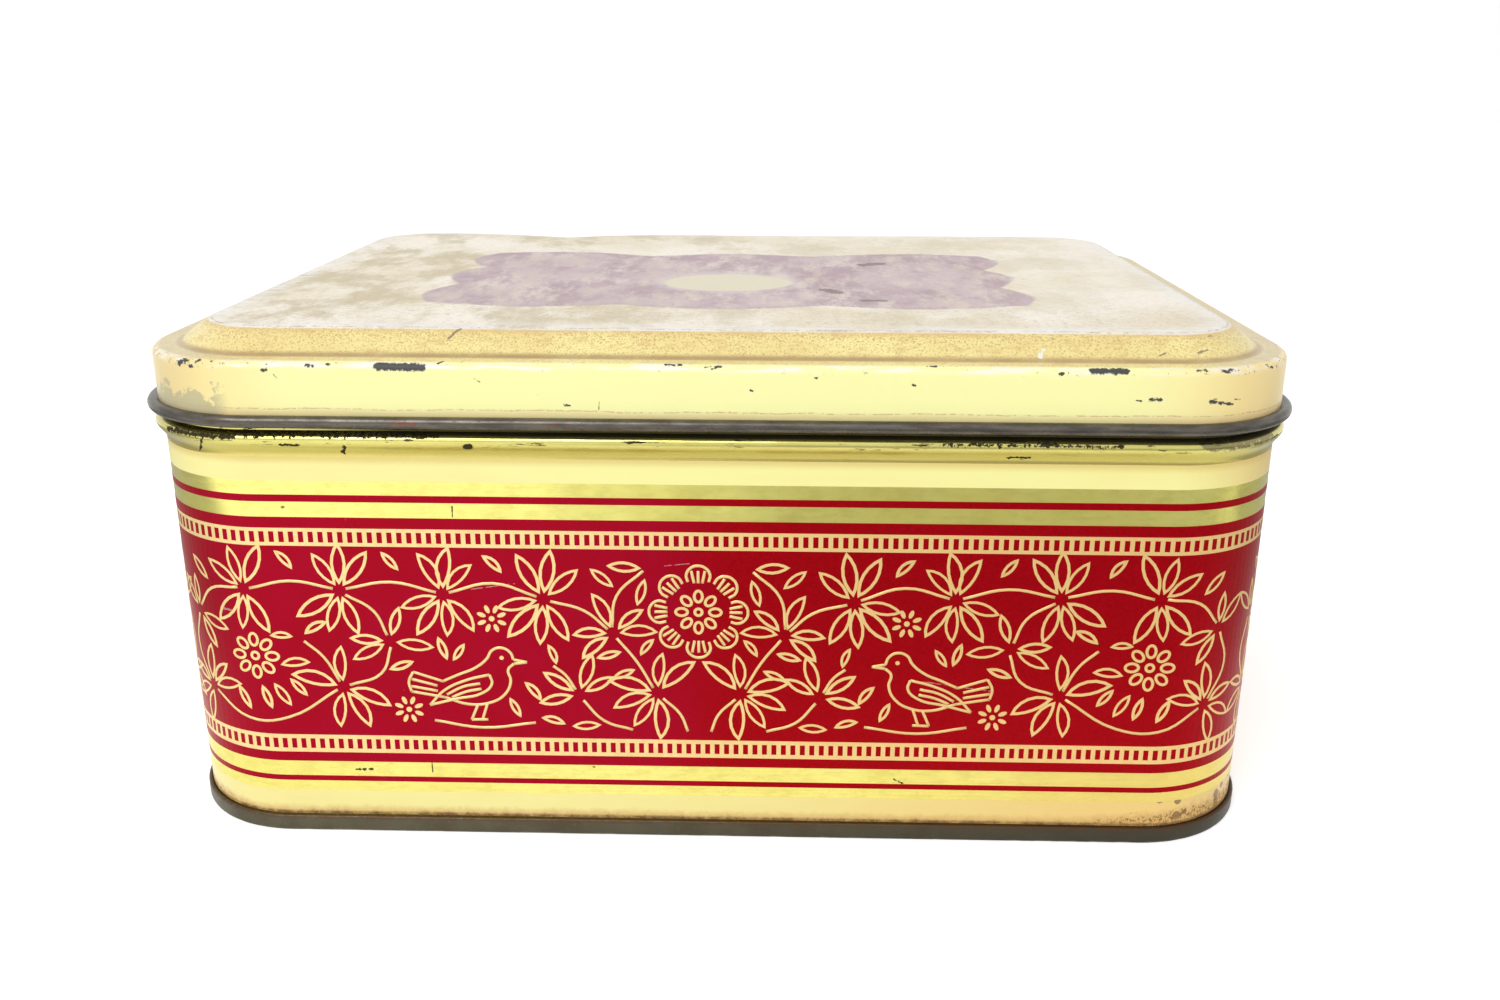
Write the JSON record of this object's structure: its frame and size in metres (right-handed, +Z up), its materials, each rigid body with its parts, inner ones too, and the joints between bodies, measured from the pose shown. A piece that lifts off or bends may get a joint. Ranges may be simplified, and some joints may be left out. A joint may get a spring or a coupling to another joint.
{
  "type": "tin box",
  "caption": "Rectangular tinplate box with rounded corners, a rolled base seam, a lid-stop bead and a lift-off slip lid with a raised crown, for papers and keepsakes.",
  "frame": {"origin": "on the ground under the middle of the box, at the lowest face of the base seam", "axes": "+Z up, the way the lid lifts; +X along the length, to the right seen from the front; +Y towards the back, where the lock seam is"},
  "size_m": [0.2152, 0.1602, 0.0972],
  "materials": {
    "printed_wall": "lithographed tinplate, gloss varnish, crimson and gold bands",
    "printed_lid": "lithographed tinplate, worn gloss varnish, pale yellow",
    "bare_sheet": "bare tinplate gone dull and dark"
  },
  "bodies": {
    "box": {"body_wall": "printed_wall", "base_plate": "bare_sheet"},
    "lid": {"lid": "printed_lid"}
  },
  "joints": [
    {"name": "lid_lift", "type": "slide", "parent": "box", "child": "lid", "axis": [0, 0, 1], "range_m": [0, 0.06]}
  ]
}
